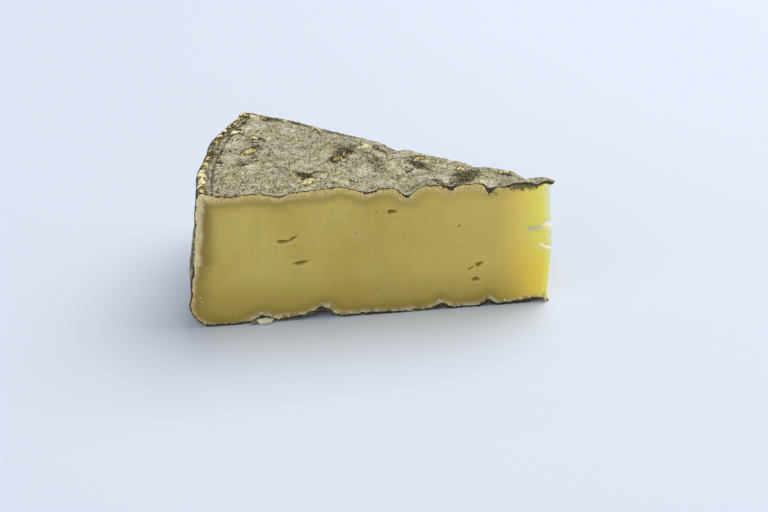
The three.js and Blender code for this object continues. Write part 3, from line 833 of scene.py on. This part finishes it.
def make_paste():
    shader = Shader("paste")
    ragged = shader.noise(1.8, 4, 0.6)
    grain = shader.noise(0.5, 3, 0.7)
    wave = shader.noise(6, 3, 0.5)
    streak = shader.noise(2.6, 4, 0.55, shader.drawn_out((1, 1, 9), 0))
    cloud = shader.noise(18, 3, 0.5)
    height = shader.height()
    rimside = shader.mask("rimside")
    depth = shader.mixed(shader.mask("depth"), (ragged, 0.5, 1.8), (wave, 0.5, 3.2), (grain, 0.5, 1.0))
    past_band = shader.math("SUBTRACT", depth, shader.mask("band"))

    colour = shader.mix(shader.fade(cloud, 0.35, 0.65), linear(214, 189, 95), linear(224, 201, 110))
    colour = shader.mix(shader.fade(streak, 0.42, 0.7, 0, 0.16), colour, linear(200, 176, 88))
    # Painted shade: the paste is darkened towards the base.
    colour = shader.mix(shader.fade(height, 20, 2, 0, 0.62), colour, linear(184, 157, 64))
    under = shader.fade(past_band, 3.6, 0.3, 0, 0.58)
    under_rim = shader.math("MULTIPLY", shader.fade(past_band, 6.5, 0.4, 0, 0.85), rimside)
    under_rim = shader.math("MULTIPLY", under_rim, shader.fade(height, 4, 30, 0.5, 1))
    under_colour = shader.mix(rimside, linear(166, 139, 58), linear(152, 124, 52))
    colour = shader.mix(shader.math("MAXIMUM", under, under_rim), colour, under_colour)

    upper = shader.fade(height, 10, 26)
    # Painted light: towards the tip the paste is painted paler and a brighter yellow, more so higher up, a
    # painted glow of light through the thin paste.
    to_tip = shader.mask("tip")
    painted_tip_glow = shader.math("MULTIPLY", shader.fade(to_tip, 0.1, 0.55, 0, 0.55), shader.fade(height, 3, 17))
    colour = shader.mix(painted_tip_glow, colour, linear(232, 206, 110), "LIGHTEN")
    glow_colour = shader.mix(upper, linear(249, 222, 86), linear(255, 240, 116))
    colour = shader.mix(shader.fade(to_tip, 0.67, 0.94), colour, glow_colour)
    # Painted light: along the tip's edge and the lips of the tears the paste is painted as a bright glow and
    # highlight.
    edge = shader.mixed(shader.mask("edge"), (ragged, 0.5, 0.8))
    painted_edge_glow_colour = shader.mix(upper, linear(255, 233, 126), linear(255, 243, 204))
    colour = shader.mix(shader.fade(edge, 0.1, 1.0, 0, 0.95), colour, painted_edge_glow_colour)

    band = shader.mix(shader.fade(grain, 0.34, 0.66), linear(184, 167, 100), linear(230, 217, 156))
    pale_band = shader.mix(shader.fade(grain, 0.32, 0.68), linear(208, 193, 136), linear(248, 238, 200))
    base_band = shader.mix(shader.fade(ragged, 0.4, 0.58), linear(176, 156, 98), linear(238, 226, 180))
    band = shader.mix(rimside, band, pale_band)
    band = shader.mix(shader.fade(height, 9, 5), band, base_band)
    colour = shader.mix(shader.fade(past_band, 0.8, -0.9, 0, 0.92), colour, band)

    mould = shader.mixed(shader.mask("mould"), (grain, 0.5, 2.2), (ragged, 0.5, 1.6))
    colour = shader.mix(shader.fade(mould, 0.4, 0.75, 0, 0.85), colour, linear(80, 78, 54))
    # Painted shade: the dark crust line is widened along the base and in its hollows to stand for shadow
    # under the wedge.
    crust_and_shade = shader.math("SUBTRACT", shader.mask("depth"), shader.mask("crust_and_shade"))
    crust_and_shade = shader.mixed(crust_and_shade, (ragged, 0.5, 1.2), (grain, 0.5, 0.7))
    crust_and_shade_colour = shader.mix(shader.fade(grain, 0.45, 0.72), linear(40, 32, 21), linear(124, 114, 90))
    colour = shader.mix(shader.fade(crust_and_shade, 0.1, -0.08), colour, crust_and_shade_colour)

    # Painted shade darkens the eyes' hollows, and a painted highlight lightens the paste just under each eye.
    eye = shader.mask("eye")
    colour = shader.mix(shader.fade(eye, 0, 0.9, 0, 0.6), colour, linear(158, 130, 44))
    colour = shader.mix(shader.fade(eye, 0, -0.5, 0, 0.4), colour, linear(226, 210, 136))
    specks = shader.fade(shader.noise(1.3, 0, 0.5), 0.2, 0.165, 0, 0.22)
    colour = shader.mix(specks, colour, linear(120, 98, 44))
    uneven = shader.mixed(streak, (grain, 0.5, 0.15))
    return shader.finish({
        "Base Color": colour,
        "Roughness": 0.5,
        "Specular IOR Level": 0.35,
        "Subsurface Weight": 0.85,
        "Subsurface Radius": (1.0, 0.75, 0.3),
        "Subsurface Scale": 5 * MM,
        "Normal": shader.bump(uneven, 0.2, 0.2),
    })


def make_wedge():
    gathered = Gathered()
    skin = Skin()
    gathered.add_points(skin.points, skin.masks)
    rind, paste = skin.triangles()
    skin_numbers = range(len(skin.points))
    gathered.add_triangles(RIND_FACES, rind, skin_numbers)
    gathered.add_triangles(PASTE_FACES, paste, skin_numbers)
    for side, eyes in ((NEAR, NEAR_EYES), (FAR, FAR_EYES)):
        cut = CutFace(skin, side, eyes, side + 2)
        start = gathered.add_points(cut.points, cut.masks)
        numbers = np.concatenate([cut.edge, np.arange(start, start + len(cut.points))])
        gathered.add_triangles(PASTE_FACES, cut.triangles, numbers)
    gathered.masks.update(cut_masks(gathered.points))
    for shift, (*place, creaminess, amberness) in enumerate(SCRAPS):
        points, triangles = make_scrap(*place, shift)
        masks = {"flake": np.full(len(points), creaminess), "amber": np.full(len(points), amberness)}
        start = gathered.add_points(points, masks)
        gathered.add_triangles(RIND_FACES, triangles, np.arange(start, start + len(points)))

    low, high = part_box(NODE)
    axis = np.array([high.x / MM + TIP_RADIUS * math.cos(HALF_ANGLE), (low.y + high.y) / 2 / MM, 0])
    mesh = gathered.make_mesh("wedge", axis, [make_rind(), make_paste()])
    wedge = bpy.data.objects.new("wedge", mesh)
    bpy.context.scene.collection.objects.link(wedge)
    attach(wedge, "root")
    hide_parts(NODE)


# The camera, as fitted to the photograph
FRAME_WIDTH = 768  # pixels
FOCAL_LENGTH = 1637  # pixels
LENS = 50  # millimetres
AZIMUTH = math.radians(8.1)
ELEVATION = math.radians(28.63)
DISTANCE = 480.17
TARGET = (4.42, -7.07, 15.21)


def make_camera():
    camera = bpy.data.objects.new("camera", bpy.data.cameras.new("camera"))
    camera.data.lens = LENS
    camera.data.sensor_width = LENS * FRAME_WIDTH / FOCAL_LENGTH
    camera.data.clip_start = NEAREST_SEEN
    back = Vector((
        math.sin(AZIMUTH) * math.cos(ELEVATION),
        -math.cos(AZIMUTH) * math.cos(ELEVATION),
        math.sin(ELEVATION),
    ))
    camera.location = (Vector(TARGET) + back * DISTANCE) * MM
    camera.rotation_euler = back.to_track_quat("Z", "Y").to_euler()
    bpy.context.scene.collection.objects.link(camera)
    bpy.context.scene.camera = camera


def make_floor():
    shader = Shader("floor")
    cloud = shader.noise(300, 2, 0.5)
    material = shader.finish({
        "Base Color": shader.mix(cloud, linear(216, 223, 237), linear(224, 231, 245)),
        "Roughness": 0.8,
    })
    bpy.ops.mesh.primitive_plane_add(size=FLOOR_SIZE)
    floor = bpy.context.object
    floor.name = "floor"
    floor.data.materials.append(material)


def make_light(name, place, size, power, colour):
    light = bpy.data.lights.new(name, "AREA")
    light.shape = "DISK"
    light.size = size
    light.energy = power
    light.color = colour
    lamp = bpy.data.objects.new(name, light)
    lamp.location = place
    lamp.rotation_euler = Vector(place).to_track_quat("Z", "Y").to_euler()
    bpy.context.scene.collection.objects.link(lamp)


def make_lights():
    make_light("key", (0.5, 0.7, 1.3), 1.6, 20, (1.0, 0.985, 0.96))
    make_light("fill", (-0.5, -1.0, 1.0), 1.6, 5, (0.97, 0.98, 1.0))
    world = bpy.data.worlds.new("studio")
    world.use_nodes = True
    background = world.node_tree.nodes["Background"]
    background.inputs["Color"].default_value = (0.9, 0.94, 1.0, 1.0)
    background.inputs["Strength"].default_value = 0.4
    bpy.context.scene.world = world
    bpy.context.scene.view_settings.view_transform = "Standard"


make_camera()
make_wedge()
make_floor()
make_lights()
